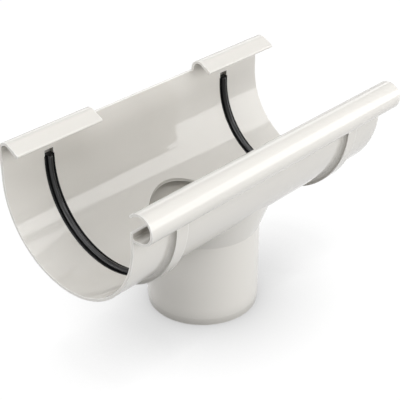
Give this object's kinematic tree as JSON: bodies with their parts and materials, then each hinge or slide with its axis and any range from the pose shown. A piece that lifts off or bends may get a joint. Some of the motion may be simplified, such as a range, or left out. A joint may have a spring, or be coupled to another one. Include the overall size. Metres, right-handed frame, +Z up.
{
  "type": "gutter outlet",
  "caption": "Half round gutter outlet with a front bead, two rear clips, rubber seals at both ends and a round spigot below for a downpipe.",
  "frame": {"origin": "on the spigot's axis, in the plane of its foot, which is what the outlet stands on", "axes": "+X runs along the gutter, +Y points to the wall behind the gutter, so the bead is at -Y, and +Z is up"},
  "size_m": [0.277, 0.1538, 0.1697],
  "materials": {
    "body": "smooth glossy off-white moulded plastic",
    "seal": "black rubber strip"
  },
  "bodies": {
    "root": {"outlet_body": "body", "seal_left": "seal", "seal_right": "seal"}
  },
  "joints": []
}
